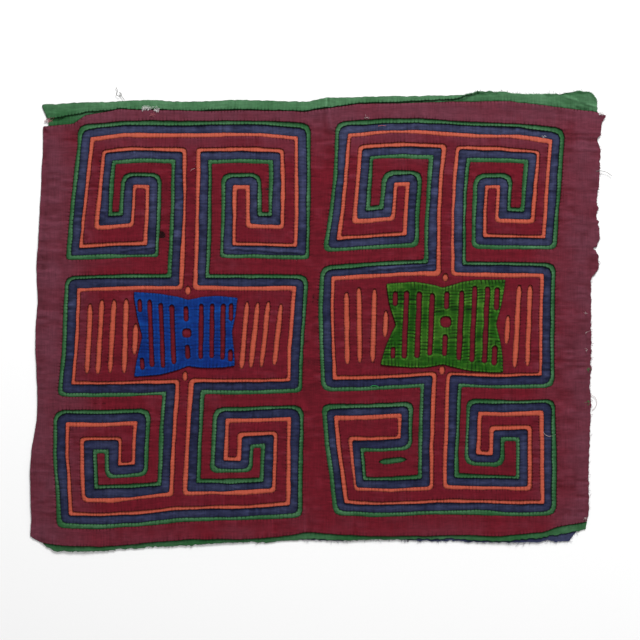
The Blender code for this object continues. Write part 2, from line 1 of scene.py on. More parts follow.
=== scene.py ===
"""The looks of a mola panel: cotton cloths laid one on another, cut open, turned under and sewn.

The outline of each cloth, and how it lifts off the surface, are read from the frame. Added here is
the cloth itself: rounded hems with their stitches, puckers, wrinkles and creases, frayed edges,
loose threads, and a cotton weave that has faded unevenly. Light and shade are also painted into
its colour along hems, folds, creases and wrinkles and where one cloth is tucked under another.

Sizes are in millimetres until a mesh is made. x runs to the right, y up the panel and z out of it.
"""

import math
from collections import namedtuple

import bpy
import numpy as np
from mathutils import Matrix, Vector
from mathutils.bvhtree import BVHTree
from mathutils.geometry import delaunay_2d_cdt
from mathutils.kdtree import KDTree


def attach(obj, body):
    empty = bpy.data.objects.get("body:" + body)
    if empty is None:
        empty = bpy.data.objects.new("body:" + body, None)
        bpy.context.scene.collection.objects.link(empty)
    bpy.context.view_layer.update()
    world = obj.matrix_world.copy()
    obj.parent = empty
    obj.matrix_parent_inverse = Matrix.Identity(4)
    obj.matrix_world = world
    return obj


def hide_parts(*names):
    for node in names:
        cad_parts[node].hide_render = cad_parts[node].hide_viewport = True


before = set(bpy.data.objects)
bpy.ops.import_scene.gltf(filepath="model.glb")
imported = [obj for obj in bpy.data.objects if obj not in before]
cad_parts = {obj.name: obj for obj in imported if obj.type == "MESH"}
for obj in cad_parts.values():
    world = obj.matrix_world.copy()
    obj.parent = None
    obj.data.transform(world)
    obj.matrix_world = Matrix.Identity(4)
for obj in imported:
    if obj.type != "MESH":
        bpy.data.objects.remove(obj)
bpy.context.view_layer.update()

MM = 0.001
SEED = 7

# The solids are stacked in even steps. Here each cloth lies on what is below it.
SOLID_STEP = 1.3
SOLID_CLOTH = 1.0
LEVELS = range(4)
RISES = (0.65, 0.90, 0.90)  # from one level's underside to the next

# One row for each cloth. level counts from the bottom, flat and hem are its thickness away from its
# turned edge and at it, and fine is the mesh's spacing where it shows. wrinkle and pucker are how
# far it rises and falls, and bulge is how much it is puffed up. The next is how much paler its
# ridges are than its troughs, partly wear and partly painted light on the ridges and painted shade
# in the troughs, and the one after is a painted highlight along the fold of its hem. Its stitches
# nip it together as far as reach from a seam, in ticks that painted shade makes darker by the share
# tick.
Cloth = namedtuple(
    "Cloth", "node slot level flat hem fine wrinkle pucker bulge rubbed crest reach tick"
)
CLOTHS = (
    Cloth("base_cloth", "navy_cotton", 0,
          0.50, 0.50, 0.79, 0.38, 0.16, 0.00, 0.38, 0.00, 3.1, 0.38),
    Cloth("middle_cloth", "green_cotton", 1,
          0.60, 0.75, 1.00, 0.12, 0.08, 0.00, 0.14, 0.26, 2.4, 0.46),
    Cloth("outline_left", "orange_cotton", 1,
          0.75, 0.80, 1.00, 0.08, 0.08, 0.10, 0.08, 0.04, 2.8, 0.27),
    Cloth("outline_right", "orange_cotton", 1,
          0.75, 0.80, 1.00, 0.08, 0.08, 0.10, 0.08, 0.04, 2.8, 0.34),
    Cloth("top_cloth", "maroon_cotton", 2,
          0.55, 0.80, 1.15, 0.30, 0.10, 0.00, 0.28, 0.10, 2.8, 0.36),
    Cloth("top_strip", "green_cotton", 2,
          0.60, 0.90, 0.90, 0.22, 0.10, 0.00, 0.14, 0.05, 2.0, 0.40),
    Cloth("figure_left", "maroon_cotton", 2,
          0.60, 0.80, 1.00, 0.26, 0.10, 0.00, 0.28, 0.06, 2.8, 0.34),
    Cloth("figure_right", "maroon_cotton", 2,
          0.60, 0.80, 1.00, 0.26, 0.10, 0.00, 0.28, 0.06, 2.8, 0.34),
    Cloth("emblem_left", "blue_cotton", 3,
          0.60, 0.80, 0.75, 0.20, 0.16, 0.00, 0.32, 0.28, 4.5, 0.52),
    Cloth("emblem_right", "bright_green_cotton", 3,
          0.60, 0.80, 0.75, 0.32, 0.28, 0.00, 0.44, 0.46, 6.0, 0.95),
)

# The mesh: its spacing along an edge, beside a hem, and where it is covered or underneath.
EDGE_STEP = 0.9
HEM_FINE = 0.56
COARSE = 7.0
HEM_FINE_WIDTH = 2.3
EDGE_ROWS = (0.2, 0.6, 1.2)  # rows of points inside an edge, for its round form
EDGE_CLEAR = 0.85  # share of a row's depth that its points keep from the edge
FINE_CLEAR = 0.3  # share of their spacing that other points keep from the ones beside a hem
COARSE_CLEAR = 0.4  # share of their spacing that they keep from the edge
SHOWN_BLUR, SHOWN_LEAST = 0.8, 0.03  # fine where this share, softened, shows
HIDDEN_BLUR, HIDDEN_MOST = 2.0, 0.02
CORNER_SOFTNESS = 0.7

# The form of an edge: how round it is, and where a hem's second layer ends.
HEM_ROLL = 0.40
RAW_ROLL = 0.15
HEM_WIDTH = 3.2
HEM_FADE = 1.3

# How far apart a cloth's wrinkles are, in x and in y, and how strong each kind is.
RIPPLES, RIPPLE = (9, 2.3), 0.8
GROOVES, GROOVE = (11, 3.2), 0.55
GROOVE_WIDTH = 0.30
PLUMB_RIPPLES, PLUMB_RIPPLE = (2.3, 9), 0.40
SWELLS, SWELL = (23, 15), 0.8
CALM, CALM_LEAST = (11, 11), 0.40
FIRM, FIRM_LEAST = (4.2, 4.2), 0.20  # how firmly stretches of a seam are sewn

# How much painted shade darkens cloth where it is tucked under another and at a hem's rim, the
# painted highlight along a hem's fold, and the painted shade on a cloth's underside.
TUCK_SHADE = 0.66
RIM_SHADE, RIM_WIDTH = 0.42, 0.35
FOLD_HIGHLIGHT_AT, FOLD_HIGHLIGHT_WIDTH = 0.8, 0.5
UNDER_SHADE = 0.9
CREASE_SHADE = 0.60  # painted light and shade: how much paler a crease is for each millimetre that it rises, and darker where it sinks
CHANNEL_SHADE = 0.12  # painted shade: how much paler the lowest cloth is in the middle of its channels than at their sides
CHANNEL_SIDE = (0.8, 3.0)

# Hem stitches, and what they do to the cloth.
PITCH = 2.6
PITCH_DRIFT = 1.5  # how far stitches stray from even spacing
DRIFT_LONG, DRIFT_SHORT = 21, 9  # how far apart those drifts are, across and along a seam
DIMPLE = 0.22
DIMPLE_AT, DIMPLE_REACH, DIMPLE_END = 0.5, 0.75, 2
NIP_WIDTH = 0.50  # sine of the half turn, of a stitch's spacing, over which a nip fades
SCALLOP = 0.13
STITCH_RADIUS = 0.17
FRINGE_RADIUS = 0.11
STITCH_COURSE = ((0.95, -0.15), (0.55, 0.02), (0.10, -0.10), (-0.38, -0.62))  # inwards and up

# How far an edge strays from its solid's: by the hand, then by its own roughness or fraying.
HAND_WOBBLE = 0.28
HAND_DRIFT = 0.50
DRIFT_LOOP = 400.0  # an edge shorter than this drifts less
STRAY_SIZES = (30, 9, 2.6)  # how far apart the hand's drift, its wobble and the roughness are
HEM_SPAN = 5  # points each way, so that a torn spot of a raw edge isn't taken for a hem
HEM_ROUGHNESS = 0.10
STRIP_ROUGHNESS = 0.34  # the upper strip's own fold isn't sewn down
FRAY = 0.45
LEFT_FRAY = 0.12  # the left edge is a clean one
LOWER_FRAY, LOWER_TEARS = 0.50, 1.7  # more fraying on lower raw edges, and how far apart it is

# Where a raw edge runs further out than its solid's: the cloth and its side, the middle and half
# width of the stretch, and how far out. Those below 0 run further in.
Stray = namedtuple("Stray", "node side middle half out")
STRAYS = (
    Stray("base_cloth", "lower", 44.0, 27.0, -1.5),
    Stray("base_cloth", "lower", -2.0, 12.0, -0.5),
    Stray("base_cloth", "lower", 171.0, 3.0, -1.3),
    Stray("middle_cloth", "lower", 20.0, 52.0, 0.8),
    Stray("middle_cloth", "lower", 150.0, 40.0, 0.3),
    Stray("top_cloth", "right", 84.8, 1.5, 1.0),
    Stray("top_cloth", "right", 66.0, 14.0, 1.1),
    Stray("top_cloth", "right", 74.4, 1.1, 1.0),
    Stray("top_cloth", "right", 69.8, 1.4, 0.7),
    Stray("top_cloth", "right", 54.2, 0.9, -1.8),
    Stray("top_cloth", "right", 44.2, 8.6, 2.2),
    Stray("top_cloth", "right", -18.0, 36.0, 0.6),
    Stray("top_cloth", "right", -35.2, 1.6, 0.8),
    Stray("top_cloth", "right", -66.0, 13.0, 1.9),
    Stray("top_cloth", "right", -98.0, 22.0, 1.1),
)

# The grid that fields over the panel are kept on, past the cloth on every side.
CELL = 0.5
GRID_HALF = (232.0, 188.0)
COLUMNS, ROWS = (int(2 * half / CELL) for half in GRID_HALF)
LIFT_CELL = 3.0
LIFT_SOFTNESS = 2.2
NOISE_TABLE = 512


def noise(x, y, seed):
    """Soft random values from -1 to 1, with about one swing to each unit of x and y."""
    table = np.random.default_rng(seed).uniform(-1, 1, (NOISE_TABLE, NOISE_TABLE))
    i, j = np.floor(x).astype(int), np.floor(y).astype(int)
    u, v = x - i, y - j
    u, v = u * u * (3 - 2 * u), v * v * (3 - 2 * v)
    i, j, i1, j1 = (k % NOISE_TABLE for k in (i, j, i + 1, j + 1))
    low = table[i, j] * (1 - u) + table[i1, j] * u
    high = table[i, j1] * (1 - u) + table[i1, j1] * u
    return low * (1 - v) + high * v


def waves(places, size, seed):
    """Soft random values over places, whose swings have a size in x and in y."""
    return noise(places[:, 0] / size[0], places[:, 1] / size[1], seed)


def smooth_step(low, high, value):
    share = np.clip((value - low) / (high - low), 0, 1)
    return share * share * (3 - 2 * share)


def blurred(cells, softness, cell=CELL):
    """A grid softened by a bell curve whose width is in millimetres."""
    across = np.fft.rfftfreq(cells.shape[1], cell)
    up = np.fft.fftfreq(cells.shape[0], cell)[:, None]
    gain = np.exp(-2 * (math.pi * softness) ** 2 * (across**2 + up**2))
    return np.fft.irfft2(np.fft.rfft2(cells) * gain, cells.shape)


def read(field, places, cell=CELL):
    """A grid's values at places, in between its cells too."""
    column = np.clip((places[:, 0] + GRID_HALF[0]) / cell - 0.5, 0, field.shape[1] - 1.001)
    row = np.clip((places[:, 1] + GRID_HALF[1]) / cell - 0.5, 0, field.shape[0] - 1.001)
    i, j = row.astype(int), column.astype(int)
    v, u = row - i, column - j
    low = field[i, j] * (1 - u) + field[i, j + 1] * u
    high = field[i + 1, j] * (1 - u) + field[i + 1, j + 1] * u
    return low * (1 - v) + high * v


def filled(loops):
    """Which cells of the grid lie inside an odd number of loops."""
    start = np.concatenate(loops)
    end = np.concatenate([np.roll(loop, -1, axis=0) for loop in loops])
    cells = np.zeros((ROWS, COLUMNS))
    for row in range(ROWS):
        y = CELL * (row + 0.5) - GRID_HALF[1]
        crosses = (start[:, 1] > y) != (end[:, 1] > y)
        a, b = start[crosses], end[crosses]
        x = a[:, 0] + (y - a[:, 1]) / (b[:, 1] - a[:, 1]) * (b[:, 0] - a[:, 0])
        columns = np.clip((x + GRID_HALF[0]) / CELL + 0.5, 0, COLUMNS).astype(int)
        cells[row] = np.cumsum(np.bincount(columns, minlength=COLUMNS + 1)[:COLUMNS]) % 2
    return cells


def solid_mesh(node):
    """A solid's points in millimetres, each once, and its triangles."""
    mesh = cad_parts[node].data
    places = np.empty(len(mesh.vertices) * 3, np.float32)
    mesh.vertices.foreach_get("co", places)
    places = places.reshape(-1, 3).astype(float) / MM
    mesh.calc_loop_triangles()
    corners = np.empty(len(mesh.loop_triangles) * 3, np.int32)
    mesh.loop_triangles.foreach_get("vertices", corners)
    welded = np.round(places, 2)
    _, first, same = np.unique(welded, axis=0, return_index=True, return_inverse=True)
    return places[first], same.reshape(-1)[corners].reshape(-1, 3)


def edge_loops(node):
    """The outline of a solid's upper face and then its holes, with the cloth on each one's left."""
    places, triangles = solid_mesh(node)
    a, b, c = (places[triangles[:, k]] for k in range(3))
    normal = np.cross(b - a, c - a)
    upper = triangles[normal[:, 2] > 0.5 * np.linalg.norm(normal, axis=1)]
    edges = {(int(t[k]), int(t[(k + 1) % 3])) for t in upper for k in range(3)}
    following = {start: end for start, end in edges if (end, start) not in edges}
    loops = []
    while following:
        start, here = following.popitem()
        loop = [start]
        while here != start:
            loop.append(here)
            here = following.pop(here)
        loops.append(places[loop, :2])
    return sorted(loops, key=signed_area, reverse=True)


def signed_area(loop):
    """A loop's area: positive for an outline and negative for a hole."""
    following = np.roll(loop, -1, axis=0)
    return 0.5 * float(np.sum(loop[:, 0] * following[:, 1] - following[:, 0] * loop[:, 1]))


def walked(loop, step, softness):
    """A loop walked in even steps, its corners softened, with the distance walked."""
    closed = np.vstack([loop, loop[:1]])
    way = np.concatenate([[0], np.cumsum(np.linalg.norm(np.diff(closed, axis=0), axis=1))])
    count = max(12, round(way[-1] / step))
    at = way[-1] * np.arange(count) / count
    gain = np.exp(-2 * (math.pi * softness * np.fft.fftfreq(count, way[-1] / count)) ** 2)
    even = [np.fft.ifft(np.fft.fft(np.interp(at, way, closed[:, k])) * gain).real for k in (0, 1)]
    return np.column_stack(even), at, way[-1]


def outward(places, span=1):
    """The direction out of the cloth at each point of a loop, judged over a span of points."""
    ahead = np.roll(places, -span, axis=0) - np.roll(places, span, axis=0)
    ahead /= np.linalg.norm(ahead, axis=1)[:, None]
    return np.column_stack([ahead[:, 1], -ahead[:, 0]])


def hemmed(cloth, index, normals):
    """How far each point of a loop is a turned hem, from 0 to 1, and how far it is stitched."""
    one, none = np.ones(len(normals)), np.zeros(len(normals))
    if index > 0 or cloth.node.startswith(("figure", "outline", "emblem")):
        return one, one
    if cloth.node == "top_cloth":
        level = smooth_step(0.6, 0.8, np.abs(normals[:, 1]))
        return level, level
    if cloth.node == "top_strip":
        return one, smooth_step(-0.5, -0.7, normals[:, 1])
    return none, none


def sewing_phase(places):
    """How many stitches up and along the panel each place is, so that seams side by side agree."""
    up = places[:, 1] + PITCH_DRIFT * waves(places, (DRIFT_LONG, DRIFT_SHORT), SEED + 60)
    along = places[:, 0] + PITCH_DRIFT * waves(places, (DRIFT_SHORT, DRIFT_LONG), SEED + 61)
    return np.column_stack([up / PITCH, along / PITCH])


def nip_shape(phase, upright):
    """Thin grooves where stitches pull the cloth together: 1 in a groove and 0 between two."""
    up, along = (np.exp(-((np.sin(math.pi * phase[:, k]) / NIP_WIDTH) ** 2)) for k in (0, 1))
    return upright * up + (1 - upright) * along


Edge = namedtuple("Edge", "places normals hem stitched centres length")


def stitch_centres(phase, at, length):
    """How far along an edge each stitch is: where the sewing phase passes a whole number."""
    gap = np.roll(phase, -1) - phase
    whole, whole_after = np.floor(phase), np.floor(phase + gap)
    sewn = (whole != whole_after) & (np.abs(gap) < 0.9)
    ahead = (np.maximum(whole, whole_after) - phase)[sewn]
    return at[sewn] + (ahead / gap[sewn]) * length / len(at)


def frayed_out(cloth, places, normals, hem, seed):
    """How far the lower and right raw edges of a cloth are frayed and torn out or in."""
    lower = smooth_step(-0.6, -0.9, normals[:, 1]) * (1 - hem)
    right = smooth_step(0.4, 0.8, normals[:, 0]) * (1 - hem)
    sides = {"lower": (places[:, 0], lower), "right": (places[:, 1], right)}
    offset = LOWER_FRAY * lower * waves(places, (LOWER_TEARS, LOWER_TEARS), seed)
    for stray in STRAYS:
        if stray.node == cloth.node:
            along, share = sides[stray.side]
            offset += stray.out * share * np.exp(-(((along - stray.middle) / stray.half) ** 4))
    return offset


def sewn_edge(cloth, index, loop, seed):
    """One edge of a cloth: even points with the hand's wobble, the stitches' pull, or fraying."""
    rng = np.random.default_rng(seed)
    places, at, length = walked(loop, EDGE_STEP, CORNER_SOFTNESS)
    normals = outward(places)
    hem, stitched = hemmed(cloth, index, outward(places, HEM_SPAN))
    phase = sewing_phase(places)
    phase = np.where(normals[:, 0] ** 2 > 0.5, phase[:, 0], phase[:, 1])
    swing = 2 * math.pi * at / length
    ring = length / (2 * math.pi)
    drift, slow, quick = (
        noise(np.cos(swing) * ring / size + 99, np.sin(swing) * ring / size + 99, seed + k)
        for k, size in zip((3, 1, 2), STRAY_SIZES)
    )
    ragged = rng.uniform(-1, 1, len(at))
    scallop = SCALLOP * min(1.0, 0.3 + cloth.tick) * stitched
    rough = STRIP_ROUGHNESS if cloth.node == "top_strip" else HEM_ROUGHNESS
    fray = np.where(normals[:, 0] < -0.8, LEFT_FRAY, FRAY) * (1 - hem)
    offset = HAND_DRIFT * min(1.0, length / DRIFT_LOOP) * drift + HAND_WOBBLE * slow
    offset -= scallop * np.cos(2 * math.pi * phase)
    offset += (rough * hem + fray) * quick + 0.5 * fray * ragged
    offset += frayed_out(cloth, places, normals, hem, seed + 5)
    centres = stitch_centres(phase, at, length)
    places = places + normals * offset[:, None]
    return Edge(places, outward(places), hem, stitched, centres, length)


def grooved(places, size, seed):
    """Soft random values with thin sharp grooves through them, where cloth is nipped together."""
    value = waves(places, size, seed)
    return 0.5 * value - np.exp(-((value / GROOVE_WIDTH) ** 2))


def tree_of(places):
    tree = KDTree(len(places))
    for i, (x, y) in enumerate(places):
        tree.insert((x, y, 0), i)
    tree.balance()
    return tree


def nearest(tree, places):
    """The nearest point of a tree to each place, and how far away it is."""
    found = [tree.find((x, y, 0))[1:] for x, y in places]
    return np.array([i for i, _ in found], int), np.array([d for _, d in found])


def lift_field():
    """How far the solids lift off the surface, with their facets softened into folds."""
    columns, rows = (int(2 * half / LIFT_CELL) for half in GRID_HALF)
    field = np.zeros((rows, columns))
    solids = []
    for cloth in CLOTHS:
        if cloth.node in ("base_cloth", "middle_cloth", "top_cloth", "top_strip"):
            places, triangles = solid_mesh(cloth.node)
            places[:, 2] -= cloth.level * SOLID_STEP + SOLID_CLOTH
            solids.append(BVHTree.FromPolygons(places.tolist(), triangles.tolist()))
    down = Vector((0, 0, -1))
    for row in range(rows):
        y = LIFT_CELL * (row + 0.5) - GRID_HALF[1]
        for column in range(columns):
            x = LIFT_CELL * (column + 0.5) - GRID_HALF[0]
            hits = (solid.ray_cast(Vector((x, y, 50)), down)[0] for solid in solids)
            hit = next((found for found in hits if found), None)
            if hit is None:
                near = [solid.find_nearest(Vector((x, y, 1))) for solid in solids]
                hit = min((found for found in near if found[0]), key=lambda found: found[3])[0]
            field[row, column] = max(hit.z, 0)
    return np.maximum(blurred(field, LIFT_SOFTNESS, LIFT_CELL), 0)


def scattered(loops, spacing, rng):
    """Jittered points over the box of some loops."""
    every = np.concatenate(loops)
    low, high = every.min(0), every.max(0)
    x, y = np.meshgrid(
        np.arange(low[0], high[0], spacing), np.arange(low[1], high[1], spacing * math.sqrt(0.75))
    )
    x[1::2] += spacing / 2
    jitter = rng.uniform(-0.17, 0.17, (2, x.size)) * spacing
    return np.column_stack([x.ravel() + jitter[0], y.ravel() + jitter[1]])


def within(loops, places):
    """Whether each place is inside an odd number of loops, worked out exactly."""
    odd = np.zeros(len(places), bool)
    for loop in loops:
        following = np.roll(loop, -1, axis=0)
        for part in range(0, len(loop), 400):
            a, b = loop[part : part + 400], following[part : part + 400]
            above = (a[:, 1] > places[:, 1:]) != (b[:, 1] > places[:, 1:])
            rise = np.where(b[:, 1] == a[:, 1], 1, b[:, 1] - a[:, 1])
            x = a[:, 0] + (places[:, 1:] - a[:, 1]) / rise * (b[:, 0] - a[:, 0])
            odd ^= (above & (places[:, :1] < x)).sum(1) % 2 == 1
    return odd


def triangulated(loops, inner):
    """Triangles over the cloth between its loops. Its points are the edges' and then the inner."""
    edge = np.concatenate(loops)
    inside = filled(loops)
    links, first = [], 0
    for loop in loops:
        count = len(loop)
        links += [(first + k, first + (k + 1) % count) for k in range(count)]
        first += count
    every = [Vector(place) for place in np.vstack([edge, inner])]
    flat, _, triangles, *_ = delaunay_2d_cdt(every, links, [], 0, 1e-4, False)
    flat, triangles = np.array([tuple(v) for v in flat]), np.array(triangles, int)
    middle = flat[triangles].mean(1)
    rim = (triangles < len(edge)).all(1) | (triangles >= len(every)).any(1)
    kept = read(inside, middle) > 0.5
    close = rim | (np.abs(read(blurred(inside, CELL), middle) - 0.5) < 0.49)
    kept[close] = within(loops, middle[close])
    return flat, triangles[kept]


def make_mesh(name, places, triangles, shade_and_wear=None, sewing=None, nipped=None):
    """A smooth piece from points in millimetres.

    The values that follow lighten or darken its colour at each point, as painted light and shade
    with some wear; then come how many stitches up and along the panel the point is and how upright
    its seam is; then how dark the painted shade in the stitch ticks is there.
    """
    mesh = bpy.data.meshes.new(name)
    mesh.from_pydata((np.asarray(places) * MM).tolist(), [], np.asarray(triangles).tolist())
    mesh.validate()
    for label, kind, key, values in (
        ("shade_and_wear", "FLOAT", "value", shade_and_wear),
        ("sewing", "FLOAT_VECTOR", "vector", sewing),
        ("nipped", "FLOAT", "value", nipped),
    ):
        if values is not None:
            layer = mesh.attributes.new(label, kind, "POINT")
            layer.data.foreach_set(key, values.astype(np.float32).ravel())
    mesh.shade_smooth()
    piece = bpy.data.objects.new(name, mesh)
    bpy.context.scene.collection.objects.link(piece)
    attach(piece, "root")
    return piece


# Creases and folds: the cloth, where each runs, how wide and how high. Those below 0
# are troughs.
Crease = namedtuple("Crease", "node start end width rise")
CREASES = (
    Crease("top_cloth", (6.5, 168.0), (10.5, 143.0), 0.9, 0.45),
    Crease("top_cloth", (3.5, 166.0), (6.0, 140.0), 1.6, -0.25),
    Crease("top_cloth", (-10.5, -138.0), (-9.5, -166.0), 1.1, 0.30),
    Crease("top_strip", (7.0, 171.0), (6.0, 160.0), 0.8, 0.45),
    Crease("top_strip", (8.4, 171.0), (7.4, 160.0), 0.6, -0.35),
    Crease("top_cloth", (186.0, 141.6), (213.0, 141.0), 0.8, 0.25),
    Crease("top_cloth", (186.0, 140.0), (213.0, 139.4), 0.7, -0.30),
    Crease("top_cloth", (186.0, 136.4), (212.0, 136.0), 0.8, -0.35),
    Crease("top_cloth", (190.0, 129.0), (211.0, 128.4), 1.0, 0.30),
    Crease("top_cloth", (192.0, 127.2), (211.0, 126.6), 0.8, -0.25),
    Crease("top_cloth", (-212.0, 92.0), (-188.0, 90.0), 1.8, 0.30),
    Crease("top_cloth", (-211.0, 70.0), (-190.0, 72.0), 1.6, 0.25),
    Crease("top_cloth", (-212.0, 38.0), (-192.0, 36.0), 1.8, 0.30),
    Crease("middle_cloth", (-200.5, 150.0), (-190.0, 152.4), 0.7, -0.55),
    Crease("middle_cloth", (104.0, 164.4), (118.6, 170.0), 0.7, -0.50),
    Crease("middle_cloth", (118.6, 170.4), (135.0, 170.8), 0.9, -0.55),
    Crease("middle_cloth", (170.0, 168.8), (185.0, 170.2), 0.7, -0.45),
    Crease("middle_cloth", (184.0, 170.6), (205.0, 171.0), 1.0, -0.55),
    Crease("middle_cloth", (204.0, 170.6), (209.4, 164.0), 0.8, -0.50),
    Crease("middle_cloth", (184.6, 169.0), (209.5, 160.2), 0.8, 0.55),
    Crease("middle_cloth", (194.2, 166.0), (202.0, 162.8), 0.7, -0.45),
    Crease("middle_cloth", (192.7, 160.6), (203.0, 158.6), 0.8, -0.50),
    Crease("middle_cloth", (196.0, 164.0), (207.0, 160.0), 0.6, -0.35),
    Crease("base_cloth", (-168.0, 33.8), (-111.0, 39.0), 1.0, 0.55),
    Crease("base_cloth", (-168.0, 31.8), (-111.0, 36.9), 0.7, -0.60),
    Crease("base_cloth", (36.0, 38.6), (91.0, 43.4), 1.0, 0.55),
    Crease("base_cloth", (36.0, 36.6), (91.0, 41.2), 0.7, -0.60),
    Crease("base_cloth", (-70.0, 55.0), (-8.0, 51.6), 1.0, 0.50),
    Crease("base_cloth", (-70.0, 53.2), (-8.0, 49.8), 0.7, -0.50),
    Crease("base_cloth", (-150.0, 53.0), (-119.0, 56.4), 0.9, 0.40),
    Crease("base_cloth", (-150.0, 51.4), (-119.0, 54.6), 0.7, -0.45),
)


def creased(cloth, places):
    """The height that the listed creases add to a cloth."""
    height = np.zeros(len(places))
    for crease in CREASES:
        if crease.node != cloth.node:
            continue
        start, end = np.array(crease.start), np.array(crease.end)
        length = np.linalg.norm(end - start)
        run = (end - start) / length
        away = places - start
        share = away @ run / length
        side = away @ np.array([-run[1], run[0]])
        side = side + 0.6 * noise(share * length / 5, np.full(len(share), 3.5), SEED + 5)
        fade = smooth_step(-0.05, 0.12, share) * smooth_step(1.05, 0.88, share)
        height += crease.rise * np.exp(-((side / crease.width) ** 2)) * fade
    return height


def sharpened(mesh, hem):
    """Marks the raw stretches of a cloth's outline as sharp, because cut cloth isn't rolled."""
    ends = np.zeros(2 * len(mesh.edges), np.int32)
    mesh.edges.foreach_get("vertices", ends)
    raw = np.append(hem, 1.0)[np.minimum(ends, len(hem))] < 0.5
    sharp = mesh.attributes.new("sharp_edge", "BOOLEAN", "EDGE")
    sharp.data.foreach_set("value", raw.reshape(-1, 2).all(axis=1))


def coarse_points(loops, own, inside, rng):
    """Points far apart over a cloth, clear of its edges."""
    coarse = scattered(loops, COARSE, rng)
    coarse = coarse[read(inside, coarse) > 0.5]
    return coarse[nearest(own, coarse)[1] > COARSE_CLEAR * COARSE]


def inner_points(cloth, edges, own, rng):
    """Points inside a cloth's edges, for its upper side, fine where it shows, and its underside."""
    loops = [edge.places for edge in edges]
    inside = filled(loops)
    uncovered = (COVERS[cloth.level] < 0.5) * 1.0
    shown = (blurred(uncovered, SHOWN_BLUR), blurred(uncovered, HIDDEN_BLUR))
    upper = []
    for depth in EDGE_ROWS:
        for edge in edges:
            row = edge.places - edge.normals * depth
            upper.append(row[nearest(own, row)[1] > EDGE_CLEAR * depth])
    for spacing, low, high in (
        (HEM_FINE, EDGE_ROWS[-1] + 0.5 * HEM_FINE, HEM_FINE_WIDTH),
        (cloth.fine, HEM_FINE_WIDTH + FINE_CLEAR * cloth.fine, math.inf),
    ):
        fine = scattered(loops, spacing, rng)
        fine = fine[(read(inside, fine) > 0.5) & (read(shown[0], fine) > SHOWN_LEAST)]
        away = nearest(own, fine)[1]
        upper.append(fine[(away > low) & (away < high)])
    coarse = coarse_points(loops, own, inside, rng)
    upper.append(coarse[read(shown[1], coarse) < HIDDEN_MOST])
    return np.vstack(upper), coarse_points(loops, own, inside, rng)


def cloth_piece(cloth, seed):
    """One cloth as a closed mesh: a fine upper side, a plain underside, and its edges between."""
    rng = np.random.default_rng(seed)
    edges = EDGES[cloth.node]
    loops = [edge.places for edge in edges]
    own = tree_of(np.concatenate(loops))
    own_hem = np.concatenate([edge.hem for edge in edges])
    upper, under = inner_points(cloth, edges, own, rng)
    flat, triangles = triangulated(loops, upper)
    under, under_triangles = triangulated(loops, under)

    near, depth = nearest(own, flat)
    depth[: len(own_hem)] = 0
    hem = own_hem[near]
    sewn, reach = nearest(SEWN_TREE, flat)
    upright = SEWN_UPRIGHT[sewn]
    phase = sewing_phase(flat)
    firm = smooth_step(-0.5, 0.6, waves(flat, FIRM, seed + 7))
    firm = FIRM_LEAST + (1 - FIRM_LEAST) * firm
    nipped = firm * SEWN_STITCHED[sewn] * np.exp(-((reach / cloth.reach) ** 2))
    nip = nip_shape(phase, upright) * nipped
    covered = np.clip(read(COVERS[cloth.level], flat), 0, 1)
    open_share = 1 - covered

    roll = RAW_ROLL + (HEM_ROLL - RAW_ROLL) * hem
    rounded = np.sqrt(np.clip(1 - (1 - np.minimum(depth / roll, 1)) ** 2, 0, 1))
    doubled = hem * (1 - smooth_step(0, HEM_FADE, depth - HEM_WIDTH))
    thick = cloth.flat + (cloth.hem - cloth.flat) * doubled
    level = RIPPLE * waves(flat, RIPPLES, seed + 1) + GROOVE * grooved(flat, GROOVES, seed + 2)
    plumb = PLUMB_RIPPLE * (1 - upright) * waves(flat, PLUMB_RIPPLES, seed + 3)
    calm = CALM_LEAST + (1 - CALM_LEAST) * smooth_step(-0.4, 0.5, waves(flat, CALM, seed + 6))
    ruffle = calm * ((0.40 + 0.60 * upright) * level + plumb)
    crease = creased(cloth, flat)
    pull = nip * np.exp(-(((reach - DIMPLE_AT) / DIMPLE_REACH) ** 2))
    height = thick * (1 + rounded) / 2
    height += open_share * rounded * (
        cloth.wrinkle * (ruffle + SWELL * waves(flat, SWELLS, seed + 4))
        - cloth.pucker * (2 * nip - 0.8 * nipped)
        + cloth.bulge
        + crease
    )
    height -= DIMPLE * pull * (depth < DIMPLE_END) * open_share * hem
    top = np.column_stack([flat, ground_height(cloth.level, flat) + height])

    underside = under[len(own_hem) :]
    bottom = np.column_stack([underside, ground_height(cloth.level, underside)])
    shift = np.where(under_triangles < len(own_hem), 0, len(flat) - len(own_hem))
    lower = (under_triangles + shift)[:, ::-1]

    # Painted light and shade in the colour, with some wear: darker where the cloth is tucked under
    # the one above, at a hem's rim, along the sides of the lowest cloth's channels and on the
    # underside; paler along a hem's fold and on crease ridges; paler on wrinkle ridges and darker
    # in their troughs, partly as wear.
    shade_and_wear = 1 - TUCK_SHADE * smooth_step(0.02, 0.5, covered)
    shade_and_wear -= RIM_SHADE * np.exp(-((depth / RIM_WIDTH) ** 2)) * hem
    shade_and_wear += cloth.crest * np.exp(-(((depth - FOLD_HIGHLIGHT_AT) / FOLD_HIGHLIGHT_WIDTH) ** 2)) * hem
    shade_and_wear += (cloth.rubbed * ruffle + CREASE_SHADE * crease) * open_share
    if cloth.level == 0:
        shade_and_wear += CHANNEL_SHADE * (smooth_step(*CHANNEL_SIDE, reach) - 0.5) * open_share
    piece = make_mesh(
        cloth.node + "_cloth",
        np.vstack([top, bottom]),
        np.vstack([triangles, lower]),
        np.append(shade_and_wear, np.full(len(bottom), UNDER_SHADE)),
        np.vstack([np.column_stack([phase, upright]), np.zeros((len(bottom), 3))]),
        np.append(nipped * cloth.tick, np.zeros(len(bottom))),
    )
    sharpened(piece.data, own_hem)
    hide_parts(cloth.node)
    return piece


def ground_height(level, places):
    """The height of a level's underside: the cloths below it, and the lift off the surface."""
    height = read(LIFT, places, LIFT_CELL)
    for below in range(level):
        height = height + RISES[below] * read(SUPPORTS[below], places)
    return height


